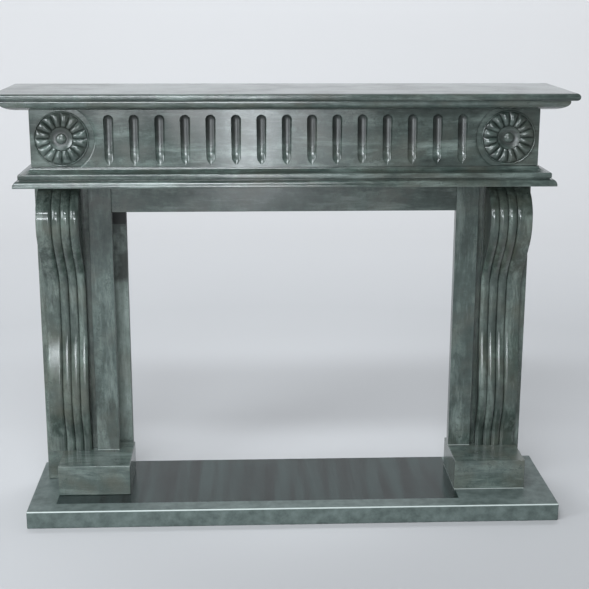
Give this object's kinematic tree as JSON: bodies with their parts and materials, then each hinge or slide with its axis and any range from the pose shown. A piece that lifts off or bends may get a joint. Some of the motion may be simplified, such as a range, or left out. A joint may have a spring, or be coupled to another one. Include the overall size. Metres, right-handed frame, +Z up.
{
  "type": "marble fireplace surround",
  "caption": "Polished dark green marble fireplace surround with moulded shelf, fluted frieze, carved roundels, reeded console legs, slips, plinth blocks and a hearth slab.",
  "frame": {"origin": "middle of the footprint on the floor under the hearth", "axes": "+X to the right seen from the room, +Y from the room into the wall, +Z up"},
  "size_m": [1.52, 0.365, 1.186],
  "materials": {
    "slab_marble": "polished",
    "carved_marble": "polished",
    "slip_marble": "polished",
    "dark_marble": "polished"
  },
  "bodies": {
    "root": {"hearth_slab": "slab_marble", "left_plinth_block": "slab_marble", "right_plinth_block": "slab_marble", "left_console": "carved_marble", "right_console": "carved_marble", "left_slip": "slip_marble", "right_slip": "slip_marble", "header_slip": "slip_marble", "left_outer_return": "slab_marble", "right_outer_return": "slab_marble", "left_cheek_panel": "dark_marble", "bed_moulding": "slab_marble", "frieze": "carved_marble", "left_frieze_return": "slab_marble", "right_frieze_return": "slab_marble", "cornice_moulding": "slab_marble", "mantel_shelf": "slab_marble"}
  },
  "joints": []
}
